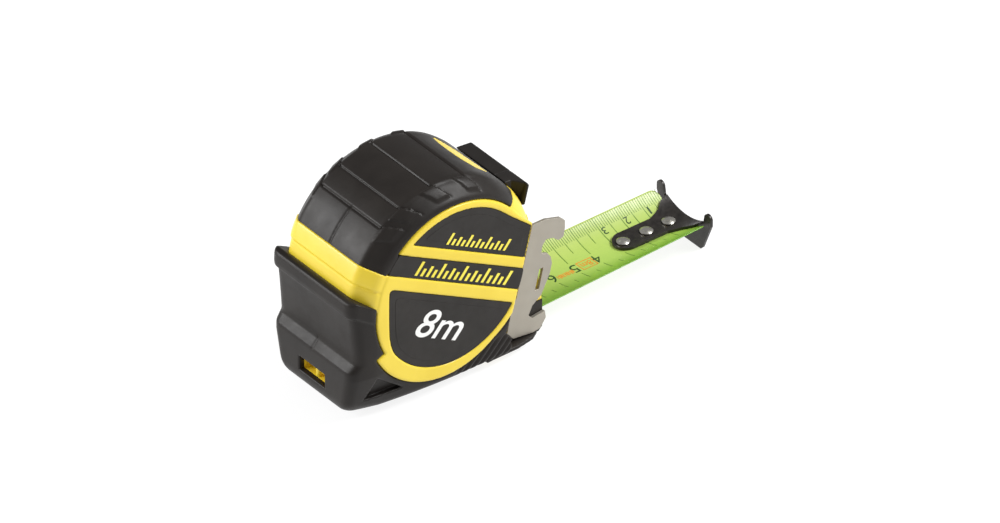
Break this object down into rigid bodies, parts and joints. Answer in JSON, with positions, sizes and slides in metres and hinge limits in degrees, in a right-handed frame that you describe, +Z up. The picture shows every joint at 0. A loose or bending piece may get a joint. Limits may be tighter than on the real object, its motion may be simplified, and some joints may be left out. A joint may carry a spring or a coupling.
{
  "type": "tape measure",
  "caption": "Pocket tape measure with a domed grip case, drawn-out curved blade, riveted end hook, thumb lock and a side catch plate.",
  "frame": {"origin": "centre of the case's flat sole", "axes": "+X forward along the drawn-out blade, +Z up from the sole, -Y is the side with the catch plate"},
  "size_m": [0.167, 0.0554, 0.0853],
  "materials": {
    "yellow_plastic": "satin moulded plastic",
    "black_rubber": "soft satin rubber",
    "label_black": "fine-grained matte",
    "black_plastic": "matte moulded",
    "white_plastic": "low-friction moulded",
    "zinc_steel": "zinc plated",
    "magnet_nickel": "nickel plated",
    "spring_steel": "blued",
    "blade_print": "printed and film coated",
    "hook_black": "black oxide",
    "rivet_steel": "domed, satin",
    "catch_steel": "fine matte nickel",
    "clip_steel": "satin spring steel"
  },
  "bodies": {
    "case": {"shell_near": "yellow_plastic", "shell_far": "yellow_plastic", "grip_near": "black_rubber", "grip_far": "black_rubber", "label_top_near": "label_black", "label_band_near": "label_black", "label_disc_near": "label_black", "label_top_far": "label_black", "label_band_far": "label_black", "label_disc_far": "label_black", "nose_jaw": "black_plastic", "mouth_bumper": "black_rubber", "strap_bar": "yellow_plastic", "centre_post": "yellow_plastic", "blade_guide": "white_plastic", "screw_1": "zinc_steel", "screw_2": "zinc_steel", "screw_3": "zinc_steel", "screw_4": "zinc_steel", "magnet_upper": "magnet_nickel", "magnet_lower": "magnet_nickel", "tape_lead": "blade_print", "clip_base": "clip_steel", "clip_screw": "zinc_steel"},
    "reel": {"drum": "white_plastic", "drum_cover": "white_plastic", "power_spring": "spring_steel", "wound_tape": "blade_print"},
    "tape": {"blade": "blade_print"},
    "hook": {"end_hook": "hook_black", "hook_backing": "hook_black", "rivet_1": "rivet_steel", "rivet_2": "rivet_steel", "rivet_3": "rivet_steel"},
    "thumb_lock": {"lock_button": "black_plastic"},
    "brake": {"brake_shoe": "black_plastic"},
    "catch": {"catch_plate": "catch_steel"},
    "belt_clip": {"clip_tongue": "clip_steel"}
  },
  "joints": [
    {"name": "blade_slide", "type": "slide", "parent": "case", "child": "tape", "axis": [1, 0, 0], "range_m": [-0.0773, 0.003], "deforming": ["tape_lead"]},
    {"name": "reel_spin", "type": "hinge", "parent": "case", "child": "reel", "pos_m": [-0.0013, 0, 0.0413], "axis": [0, -1, 0], "range_deg": [-146, 6]},
    {"name": "hook_play", "type": "slide", "parent": "tape", "child": "hook", "axis": [1, 0, 0], "range_m": [0, 0.001]},
    {"name": "lock_swing", "type": "hinge", "parent": "case", "child": "thumb_lock", "pos_m": [-0.0013, 0, 0.0413], "axis": [0, 1, 0], "range_deg": [0, 8]},
    {"name": "brake_drop", "type": "slide", "parent": "case", "child": "brake", "axis": [0, 0, -1], "range_m": [0, 0.0023]},
    {"name": "catch_removal", "type": "slide", "parent": "case", "child": "catch", "axis": [0, -1, 0], "range_m": [0, 0.03]},
    {"name": "clip_flex", "type": "hinge", "parent": "case", "child": "belt_clip", "pos_m": [0, 0.0267, 0.0682], "axis": [1, 0, 0], "range_deg": [0, 6], "stiffness_Nm_per_rad": 2}
  ],
  "couplings": [
    {"joint": "reel_spin", "follows": "blade_slide", "rad_per_m": 32.787},
    {"joint": "brake_drop", "follows": "lock_swing", "m_per_rad": 0.0164}
  ]
}
